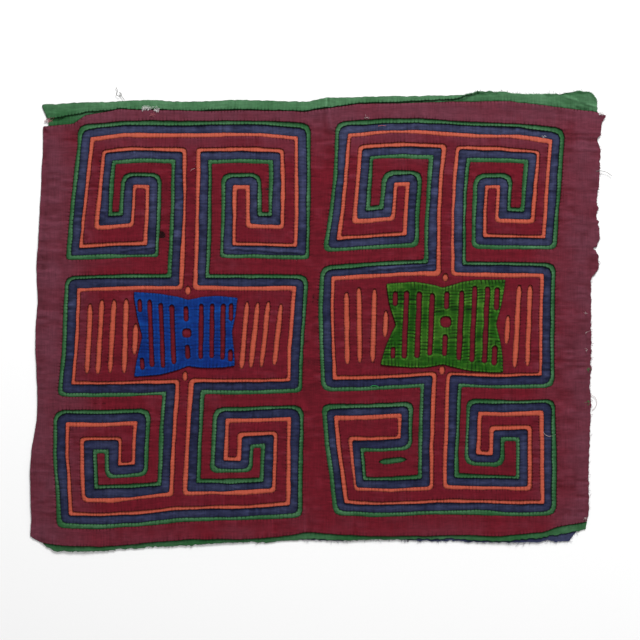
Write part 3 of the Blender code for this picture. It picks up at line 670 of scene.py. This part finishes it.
def tubes(name, paths, radius, sides=3, taper=0.55):
    """Many short threads as one mesh. paths is threads by points by three, in millimetres."""
    paths = np.asarray(paths, float)
    many, points, _ = paths.shape
    ahead = np.gradient(paths, axis=1)
    ahead /= np.maximum(np.linalg.norm(ahead, axis=2), 1e-9)[..., None]
    side = np.cross(ahead, np.array([0.13, 0.07, 1.0]))
    side /= np.maximum(np.linalg.norm(side, axis=2), 1e-9)[..., None]
    over = np.cross(side, ahead)
    turn = 2 * math.pi * np.arange(sides) / sides
    width = np.full(points, 1.0)
    width[[0, -1]] = taper
    radius = np.broadcast_to(np.asarray(radius, float), (many,))[:, None, None, None]
    ring = side[:, :, None] * np.cos(turn)[:, None] + over[:, :, None] * np.sin(turn)[:, None]
    places = paths[:, :, None] + radius * width[:, None, None] * ring
    first = np.arange(many)[:, None, None] * points * sides
    along = np.arange(points - 1)[:, None] * sides
    a = first + along + np.arange(sides)
    b = first + along + (np.arange(sides) + 1) % sides
    quads = [np.stack([a, b, b + sides], -1), np.stack([a, b + sides, a + sides], -1)]
    fan = np.stack([np.zeros(sides - 2), np.arange(1, sides - 1), np.arange(2, sides)], -1)
    start = first + fan[:, ::-1].astype(int)
    end = first + (points - 1) * sides + fan.astype(int)
    triangles = np.vstack([t.reshape(-1, 3) for t in (*quads, start, end)])
    return make_mesh(name, places.reshape(-1, 3), triangles)


def hem_stitches(cloth, seed):
    """The paths of the small stitches over a cloth's hems."""
    rng = np.random.default_rng(seed)
    paths = []
    for edge in EDGES[cloth.node]:
        at = edge.length * np.arange(len(edge.places)) / len(edge.places)
        closed = np.append(at, edge.length)
        spot, out = (
            np.column_stack([np.interp(edge.centres, closed, np.append(v, v[0])) for v in both.T])
            for both in (edge.places, edge.normals)
        )
        used = np.interp(edge.centres, at, edge.stitched) > 0.5
        spot, out = spot[used], out[used]
        along = np.column_stack([-out[:, 1], out[:, 0]])
        lean = rng.normal(0.28, 0.12, len(spot))[:, None]
        long = rng.uniform(0.85, 1.2, len(spot))[:, None]
        path = []
        for inwards, rise in STITCH_COURSE:
            place = spot - out * inwards * long + along * lean * (inwards - 0.3)
            level = ground_height(cloth.level, place) + cloth.hem + rise
            path.append(np.column_stack([place, level]))
        paths.append(np.stack(path, axis=1))
    return np.concatenate(paths)


def frayed(cloth, fringe, seed):
    """The paths of the loose ends along a cloth's outline, where a fringe has them."""
    rng = np.random.default_rng(seed)
    edge = EDGES[cloth.node][0]
    wanted = np.flatnonzero(fringe.keep(edge))
    wanted = wanted[rng.random(len(wanted)) < EDGE_STEP / fringe.every]
    spot, out = edge.places[wanted], edge.normals[wanted]
    along = np.column_stack([-out[:, 1], out[:, 0]])
    many = len(spot)
    long = fringe.reach * rng.gamma(2.2, 0.45, many)[:, None]
    slant = rng.normal(0, 0.55, many)[:, None]
    bend = rng.normal(0, 0.5, many)[:, None]
    path = []
    for share in (-0.5, 0.0, 0.35, 0.7, 1.0):
        run = long * max(share, 0) + share * 1.2 * (share < 0)
        place = spot + out * run + along * (slant * run + bend * long * share * abs(share))
        height = ground_height(cloth.level, place) + cloth.flat * (0.6 - 0.25 * max(share, 0))
        height = height + 0.5 * rng.random(many) * max(share, 0)
        path.append(np.column_stack([place, height]))
    return np.stack(path, axis=1)


BY_NODE = {cloth.node: cloth for cloth in CLOTHS}
LIFT = lift_field()
EDGES = {
    cloth.node: [
        sewn_edge(cloth, k, loop, SEED + 100 * n + 3 * k)
        for k, loop in enumerate(edge_loops(cloth.node))
    ]
    for n, cloth in enumerate(CLOTHS)
}
MASKS = [
    np.clip(
        sum(filled([e.places for e in EDGES[c.node]]) for c in CLOTHS if c.level == level), 0, 1
    )
    for level in LEVELS
]
SUPPORTS = [blurred(mask, 1.5) for mask in MASKS]
COVERS = [
    blurred(np.clip(sum(MASKS[level + 1 :], np.zeros((ROWS, COLUMNS))), 0, 1), 0.45)
    for level in LEVELS
]
SEWN = [edge for edges in EDGES.values() for edge in edges if edge.stitched.max() > 0]
SEWN_TREE = tree_of(np.concatenate([edge.places for edge in SEWN]))
SEWN_STITCHED = np.concatenate([edge.stitched for edge in SEWN])
SEWN_UPRIGHT = np.concatenate([edge.normals[:, 0] ** 2 for edge in SEWN])


# Colours as light reflected, by slot: the cloth, where it has faded, and its thread. mottle is how
# streaky its wear is.
Dye = namedtuple("Dye", "colour faded thread mottle")
DYES = {
    "navy_cotton": Dye((0.013, 0.016, 0.047), (0.044, 0.050, 0.102), (0.012, 0.015, 0.044), 0.65),
    "green_cotton": Dye((0.016, 0.080, 0.024), (0.084, 0.186, 0.100), (0.004, 0.028, 0.009), 0.35),
    "orange_cotton": Dye((0.402, 0.071, 0.040), (0.428, 0.098, 0.060), (0.280, 0.044, 0.022), 0.12),
    "maroon_cotton": Dye((0.112, 0.005, 0.012), (0.105, 0.024, 0.039), (0.070, 0.003, 0.008), 0.30),
    "blue_cotton": Dye((0.001, 0.018, 0.140), (0.003, 0.052, 0.215), (0.001, 0.018, 0.110), 0.34),
    "bright_green_cotton": Dye(
        (0.008, 0.066, 0.002), (0.054, 0.132, 0.015), (0.007, 0.050, 0.002), 0.40
    ),
}


class Nodes:
    """A short way to make a material from linked shader nodes."""

    def __init__(self, name):
        self.material = bpy.data.materials.new(name)
        self.material.use_nodes = True
        self.tree = self.material.node_tree
        self.shader = self.tree.nodes["Principled BSDF"]
        self.place = self.tree.nodes.new("ShaderNodeTexCoord").outputs["Object"]

    def add(self, kind, **inputs):
        """A node with its settings; an input can be a value or another node's output."""
        node = self.tree.nodes.new(kind)
        for name, value in inputs.items():
            if hasattr(node, name) and not name.startswith("in_"):
                setattr(node, name, value)
                continue
            socket = node.inputs[int(name[3:])] if name[3:].isdigit() else node.inputs[name[3:]]
            if isinstance(value, bpy.types.NodeSocket):
                self.tree.links.new(value, socket)
            else:
                socket.default_value = value
        return node.outputs[0]

    def math(self, operation, a, b=0.0, c=0.0, clamp=False):
        settings = {"operation": operation, "use_clamp": clamp}
        return self.add("ShaderNodeMath", **settings, in_0=a, in_1=b, in_2=c)

    def plus(self, a, b, clamp=False):
        return self.math("ADD", a, b, clamp=clamp)

    def minus(self, a, b):
        return self.math("SUBTRACT", a, b)

    def times(self, a, b):
        return self.math("MULTIPLY", a, b)

    def ramp(self, value, start, width):
        """From 0 where a value is at the start up to 1 at the end of the width."""
        return self.math("DIVIDE", self.minus(value, start), width, clamp=True)

    def bell(self, value, width):
        """1 where a value is 0, falling away on both sides."""
        share = self.math("DIVIDE", value, width)
        return self.math("EXPONENT", self.times(self.times(share, share), -1.0))

    def layer(self, name):
        """The node that reads a mesh's own values."""
        return self.add("ShaderNodeAttribute", attribute_name=name).node

    def split(self, value):
        return self.add("ShaderNodeSeparateXYZ", in_0=value).node.outputs

    def stretched(self, scale):
        """A soft noise at so many swings to a metre along x and y, about 0.5."""
        place = self.add("ShaderNodeMapping", in_Vector=self.place, in_Scale=(*scale, 1.0))
        return self.add("ShaderNodeTexNoise", in_Vector=place, in_Scale=1.0, in_Detail=2.0)

    def nip_relief_and_shade(self):
        """The thin grooves that the stitches pull across a seam, for the bump and for the painted
        shade in them.
        """
        *phases, upright = self.split(self.layer("sewing").outputs["Vector"])
        up, along = (
            self.bell(self.math("SINE", self.times(phase, math.pi)), NIP_WIDTH) for phase in phases
        )
        across = self.times(self.minus(1.0, upright), along)
        across = self.plus(self.times(upright, up), across)
        return self.times(across, self.layer("nipped").outputs["Fac"])

    def colour(self, colour, value):
        """Gives the material a colour, made lighter or darker by a value."""
        tinted = self.add("ShaderNodeVectorMath", operation="SCALE", in_0=colour, in_Scale=value)
        self.tree.links.new(tinted, self.shader.inputs["Base Color"])

    def surface(self, height, strength, distance, **settings):
        """Gives the material a bump, its distance in millimetres, and its other settings."""
        bump = self.add(
            "ShaderNodeBump", in_Strength=strength, in_Distance=distance * MM, in_Height=height
        )
        self.tree.links.new(bump, self.shader.inputs["Normal"])
        for name, value in settings.items():
            self.shader.inputs[name.replace("_", " ")].default_value = value


# The weave, and how many swings to a metre each unevenness of the cloth has across and along it.
WEAVE = 0.42  # between two threads
WEAVE_DRIFT = 9.0
SLUBS = (70.0, 1900.0)
CREPE = (160.0, 900.0)
BLOTCH = (34.0, 40.0)
STREAK = (230.0, 620.0)
WARP_SHADE, THREAD_SHADE = 0.45, 0.70
WEAVE_RELIEF, THREAD_RELIEF, CREPE_RELIEF = 0.10, 0.5, 1.1
NIP_DEPTH = 1.3
SHADE_AND_WEAR_FADE = 0.9  # how far the dye is faded where painted light and wear make the cloth twice as pale; painted shade deepens it
BLOTCH_FADE = 0.9

# Where the colour turns toward the paler, greyer faded one, in metres: where it starts, over what
# width, and how far it goes.
MARGIN_SIDE, MARGIN_UPPER, MARGIN_LOWER = (0.158, 0.040), (0.114, 0.039), (0.136, 0.090)
MARGIN_FADE = 0.9
UPPER_EDGE, UPPER_FADE, LEAST_FADE = (0.150, 0.022), 0.38, 0.17
MIDDLE, FADE_PER_METRE, MIDDLE_FADE = -0.048, 2.4, 0.05


def faded_share(n, x, y, fade):
    """How far the colour turns toward the faded one at each place, before its blotches."""
    if fade == "margins":
        side = n.ramp(n.math("ABSOLUTE", x), *MARGIN_SIDE)
        upper = n.ramp(y, *MARGIN_UPPER)
        lower = n.ramp(n.times(y, -1.0), *MARGIN_LOWER)
        most = n.math("MAXIMUM", n.math("MAXIMUM", side, upper), lower)
        return n.times(most, MARGIN_FADE)
    if fade == "upper edge":
        return n.plus(n.times(n.ramp(y, *UPPER_EDGE), UPPER_FADE), LEAST_FADE)
    away = n.math("ABSOLUTE", n.minus(y, MIDDLE))
    return n.plus(n.times(away, FADE_PER_METRE), MIDDLE_FADE)


def cotton(slot, fade="even"):
    """Woven cotton: crossing threads, thick and thin ones, blotches, fading and wear, and the
    mesh's painted light and shade.
    """
    dye = DYES[slot]
    n = Nodes(slot)
    x, y, _ = n.split(n.place)
    warp, weft = n.stretched(SLUBS), n.stretched(SLUBS[::-1])
    blotch = n.stretched(BLOTCH)
    # The mesh's painted light and shade, with some wear on the ridges.
    shade_and_wear = n.layer("shade_and_wear").outputs["Fac"]
    # The stitch ticks: sunk into the bump and darkened with painted shade.
    nip_relief_and_shade = n.nip_relief_and_shade()

    amount = n.plus(faded_share(n, x, y, fade), n.times(n.minus(blotch, 0.5), BLOTCH_FADE))
    # Where the mesh is painted lighter the dye turns toward its faded colour, and where painted
    # darker away from it.
    amount = n.plus(amount, n.times(n.minus(shade_and_wear, 1.0), SHADE_AND_WEAR_FADE), clamp=True)
    ends = {"in_6": (*dye.colour, 1), "in_7": (*dye.faded, 1)}
    dyed = n.add("ShaderNodeMix", data_type="RGBA", in_0=amount, **ends).node.outputs[2]
    threads = n.plus(n.times(n.minus(warp, 0.5), WARP_SHADE), n.minus(weft, 0.5))
    mottled = n.times(n.minus(n.stretched(STREAK), 0.5), 2 * dye.mottle)
    value = n.math("MULTIPLY_ADD", threads, THREAD_SHADE, 1.0)
    value = n.times(value, n.plus(mottled, 1.0))
    # The painted shade of the stitch ticks, then the mesh's painted light and shade.
    value = n.times(n.times(value, n.minus(1.0, nip_relief_and_shade)), shade_and_wear)
    n.colour(dyed, value)

    turns = 2 * math.pi / (WEAVE * MM)
    drift = n.times(blotch, WEAVE_DRIFT)
    over = n.math("SINE", n.plus(n.times(x, turns), drift))
    across = n.math("SINE", n.minus(n.times(y, turns), drift))
    relief = n.plus(n.times(n.times(over, across), WEAVE_RELIEF), n.times(threads, THREAD_RELIEF))
    relief = n.plus(relief, n.times(n.stretched(CREPE), CREPE_RELIEF))
    relief = n.minus(relief, n.times(nip_relief_and_shade, NIP_DEPTH))
    finish = {"Specular_IOR_Level": 0.08, "Sheen_Weight": 0.03, "Sheen_Roughness": 0.60}
    n.surface(relief, 0.55, 0.25, Roughness=0.90, **finish)
    return n.material


def spun(name, colour):
    """Sewing thread: fine twisted fibres, a little lighter and darker along it."""
    n = Nodes(name)
    fibre = n.stretched((1500.0, 1500.0))
    n.colour(colour, n.math("MULTIPLY_ADD", fibre, 0.8, 0.6))
    n.surface(fibre, 0.4, 0.1, Roughness=0.9, Specular_IOR_Level=0.1)
    return n.material


FADES = {"maroon_cotton": "margins", "green_cotton": "upper edge"}
COTTONS = {slot: cotton(slot, FADES.get(slot, "even")) for slot in DYES}
THREADS = {slot: spun("thread_" + slot, dye.thread) for slot, dye in DYES.items()}
FRAYED = {slot: spun("frayed_" + slot, dye.faded) for slot, dye in DYES.items()}

for number, cloth in enumerate(CLOTHS):
    cloth_piece(cloth, SEED + 1000 + 10 * number).data.materials.append(COTTONS[cloth.slot])

for slot in DYES:
    alike = [cloth for cloth in CLOTHS if cloth.slot == slot]
    alike = [cloth for cloth in alike if any(e.stitched.max() > 0 for e in EDGES[cloth.node])]
    if alike:
        paths = [hem_stitches(cloth, SEED + 2000 + k) for k, cloth in enumerate(alike)]
        stitches = tubes("stitches_" + slot, np.concatenate(paths), STITCH_RADIUS)
        stitches.data.materials.append(THREADS[slot])


def on_right(edge):
    return (edge.hem < 0.5) & (edge.normals[:, 0] > 0.6)


def below_panel(edge):
    return edge.places[:, 1] < -155


def upper_right(edge):
    return (edge.places[:, 1] > 160) & (edge.places[:, 0] > 110)


# Frayed edges: where the loose ends are, how far apart, how long, and of which threads.
Fringe = namedtuple("Fringe", "node keep every reach threads")
FRINGES = (
    Fringe("top_cloth", on_right, 1.9, 0.7, FRAYED),
    Fringe("base_cloth", below_panel, 0.8, 0.9, FRAYED),
    Fringe("middle_cloth", upper_right, 0.9, 0.8, THREADS),
    Fringe("middle_cloth", below_panel, 2.5, 0.6, THREADS),
)
for fringe in FRINGES:
    cloth = BY_NODE[fringe.node]
    paths = frayed(cloth, fringe, SEED + 3000 + int(10 * fringe.every))
    name = f"fraying_{fringe.node}_{fringe.keep.__name__}"
    piece = tubes(name, paths, FRINGE_RADIUS)
    piece.data.materials.append(fringe.threads[cloth.slot])


# Loose threads: how high each lies above the surface, and where it runs.
Strand = namedtuple("Strand", "name slot thread radius lift places")
STRANDS = (
    Strand("knotted", "green_cotton", "grey", 0.20, 1.6,
           ((-151.8, 175.8), (-150.4, 172.6), (-151.4, 170.2), (-149.2, 168.6), (-147.4, 170.2),
            (-149.0, 171.6), (-147.2, 168.6), (-145.0, 165.4))),
    Strand("right", "maroon_cotton", "grey", 0.20, 0.5,
           ((208.6, 112.4), (212.4, 112.6), (216.6, 111.6), (220.6, 108.8))),
    Strand("curl", "maroon_cotton", "pale", 0.17, 0.6,
           ((204.2, -55.0), (207.8, -57.2), (209.4, -61.0), (208.2, -64.6), (205.6, -67.4))),
    Strand("lower", "navy_cotton", "pale", 0.14, 3.0,
           ((169.2, -81.8), (170.0, -84.8), (173.4, -86.6), (178.2, -85.2))),
    Strand("bump", "green_cotton", "bright", 0.30, 3.3,
           ((38.8, -49.8), (41.2, -48.6), (44.2, -48.9), (46.8, -50.2))),
    Strand("mark", "maroon_cotton", "pink", 0.16, 3.1,
           ((44.0, 146.0), (47.6, 146.8), (52.2, 146.4))),
    Strand("scratch", "maroon_cotton", "pale", 0.09, 3.0,
           ((-95.8, 112.4), (-94.2, 113.6), (-92.3, 114.3))),
)

# Lint: where a tuft lies, how wide and high it spreads, and how many fibres it has.
Tuft = namedtuple("Tuft", "name slot thread centre spread lift fibres")
TUFTS = (
    Tuft("upper_left", "maroon_cotton", "white", (-128.5, 159.6), (4.6, 0.9), 2.9, 46),
    Tuft("upper_left_end", "maroon_cotton", "white", (-121.0, 158.4), (1.6, 1.1), 2.9, 22),
    Tuft("upper_left_dot", "maroon_cotton", "pink", (-124.2, 154.6), (0.8, 0.7), 2.9, 12),
    Tuft("upper_right", "maroon_cotton", "white", (212.4, 156.2), (2.4, 0.8), 2.4, 34),
    Tuft("upper_middle", "maroon_cotton", "pale", (36.4, 152.7), (2.2, 0.5), 2.9, 10),
    Tuft("strip_end", "green_cotton", "pink", (-202.2, 150.6), (2.4, 1.0), 2.6, 34),
    Tuft("strip_end_pale", "green_cotton", "pale", (-204.0, 150.2), (1.1, 1.3), 2.6, 16),
    Tuft("dots_upper", "maroon_cotton", "pale", (201.0, 5.4), (0.3, 0.8), 2.2, 5),
    Tuft("dots_middle", "maroon_cotton", "pale", (201.2, -8.0), (0.3, 0.8), 2.2, 5),
    Tuft("dots_lower", "maroon_cotton", "pale", (201.4, -21.5), (0.3, 0.8), 2.2, 5),
    Tuft("edge_wisp", "navy_cotton", "navy", (66.6, -165.4), (1.2, 0.5), 0.3, 14),
    Tuft("corner_fleck", "orange_cotton", "white", (169.3, 137.7), (0.3, 0.3), 1.9, 6),
    Tuft("lower_right", "maroon_cotton", "pale", (200.8, -148.2), (1.6, 0.7), 2.2, 14),
    Tuft("right_upper", "green_cotton", "bright", (203.0, -36.4), (0.8, 2.4), 1.8, 12),
    Tuft("right_lower", "green_cotton", "bright", (203.0, -61.0), (0.8, 1.6), 1.8, 9),
)
LOOSE = {
    "white": spun("thread_white", (0.760, 0.740, 0.730)),
    "pale": spun("thread_pale", (0.420, 0.330, 0.330)),
    "grey": spun("thread_grey", (0.150, 0.145, 0.140)),
    "pink": spun("thread_pink", (0.420, 0.130, 0.150)),
    "bright": spun("thread_bright", (0.020, 0.190, 0.050)),
    "navy": spun("thread_dark", (0.016, 0.022, 0.050)),
}
STRAND_POINTS = 30
FIBRE_POINTS = 6
FIBRE_RADIUS = 0.085


def surface_height(places, lift):
    """A height above the lifted surface, or on the floor where no cloth is near."""
    return read(LIFT, places, LIFT_CELL) + lift * np.clip(read(SUPPORTS[2], places) + 0.06, 0, 1)


def flowing(places, count):
    """A smooth line of points through a few places."""
    places = np.array(places)
    padded = np.vstack([2 * places[0] - places[1], places, 2 * places[-1] - places[-2]])
    at = np.linspace(0, len(places) - 1.0001, count)
    i, t = at.astype(int), (at % 1)[:, None]
    p0, p1, p2, p3 = (padded[i + k] for k in range(4))
    bend = (2 * p0 - 5 * p1 + 4 * p2 - p3) * t + (3 * p1 - p0 - 3 * p2 + p3) * t**2
    return p1 + 0.5 * t * (p2 - p0 + bend)


def loose_strand(strand):
    path = flowing(strand.places, STRAND_POINTS)
    arch = 0.4 * np.sin(math.pi * np.linspace(0, 1, STRAND_POINTS))
    height = surface_height(path, strand.lift) + arch + strand.radius
    path = np.column_stack([path, height])[None]
    piece = tubes("loose_" + strand.name, path, strand.radius, sides=6)
    piece.data.materials.append(LOOSE[strand.thread])


def tuft_of_lint(tuft, seed):
    """A clump of short curly fibres."""
    rng = np.random.default_rng(seed)
    spot = np.array(tuft.centre) + rng.normal(0, 0.45, (tuft.fibres, 2)) * tuft.spread
    angle = rng.uniform(0, 2 * math.pi, tuft.fibres)
    curl = rng.normal(0, 0.7, tuft.fibres)
    step = rng.uniform(0.25, 0.6, tuft.fibres)
    path = []
    for k in range(FIBRE_POINTS):
        height = surface_height(spot, tuft.lift) + FIBRE_RADIUS
        height = height + 0.5 * rng.random(tuft.fibres)
        path.append(np.column_stack([spot, height]))
        ahead = np.column_stack([np.cos(angle), np.sin(angle)])
        spot = spot + ahead * step[:, None]
        angle = angle + curl
    piece = tubes("lint_" + tuft.name, np.stack(path, axis=1), FIBRE_RADIUS)
    piece.data.materials.append(LOOSE[tuft.thread])


for strand in STRANDS:
    loose_strand(strand)
for number, tuft in enumerate(TUFTS):
    tuft_of_lint(tuft, SEED + 4000 + number)


FLOOR_HALF = 6.0
FLOOR_DROP = 0.0002
LENS, SENSOR = 100.0, 36.0
VIEW_WIDTH = 0.480
VIEW_CENTRE = (0.0015, 0.00075)
CLOTH_TOP = 0.002  # the height that the view's width is measured at


def linked(name, data):
    """A new object in the scene."""
    thing = bpy.data.objects.new(name, data)
    bpy.context.scene.collection.objects.link(thing)
    return thing


def studio():
    """A pale floor, soft light from above and the upper side, and the camera straight above."""
    floor_mesh = bpy.data.meshes.new("floor")
    corners = ((-1, -1), (1, -1), (1, 1), (-1, 1))
    floor_mesh.from_pydata(
        [(x * FLOOR_HALF, y * FLOOR_HALF, -FLOOR_DROP) for x, y in corners], [], [(0, 1, 2, 3)]
    )
    floor = linked("floor", floor_mesh)
    paint = bpy.data.materials.new("floor_paint")
    paint.use_nodes = True
    shader = paint.node_tree.nodes["Principled BSDF"]
    shader.inputs["Base Color"].default_value = (0.86, 0.86, 0.86, 1)
    shader.inputs["Roughness"].default_value = 0.9
    floor_mesh.materials.append(paint)

    world = bpy.data.worlds.new("studio")
    world.use_nodes = True
    world.node_tree.nodes["Background"].inputs["Color"].default_value = (1.0, 1.0, 1.0, 1)
    world.node_tree.nodes["Background"].inputs["Strength"].default_value = 0.52
    bpy.context.scene.world = world
    for name, place, size, energy in (
        ("key", (0.45, 1.58, 1.15), 0.6, 48.0),
        ("fill", (1.2, -0.5, 1.8), 1.6, 4.0),
    ):
        light = bpy.data.lights.new(name, "AREA")
        light.size = size
        light.energy = energy
        lamp = linked(name, light)
        lamp.location = place
        lamp.rotation_euler = (-Vector(place)).to_track_quat("-Z", "Y").to_euler()

    camera = bpy.data.cameras.new("camera")
    camera.lens = LENS
    camera.sensor_width = SENSOR
    eye = linked("camera", camera)
    eye.location = (*VIEW_CENTRE, VIEW_WIDTH * LENS / SENSOR + CLOTH_TOP)
    bpy.context.scene.camera = eye
    bpy.context.scene.view_settings.view_transform = "Standard"


studio()
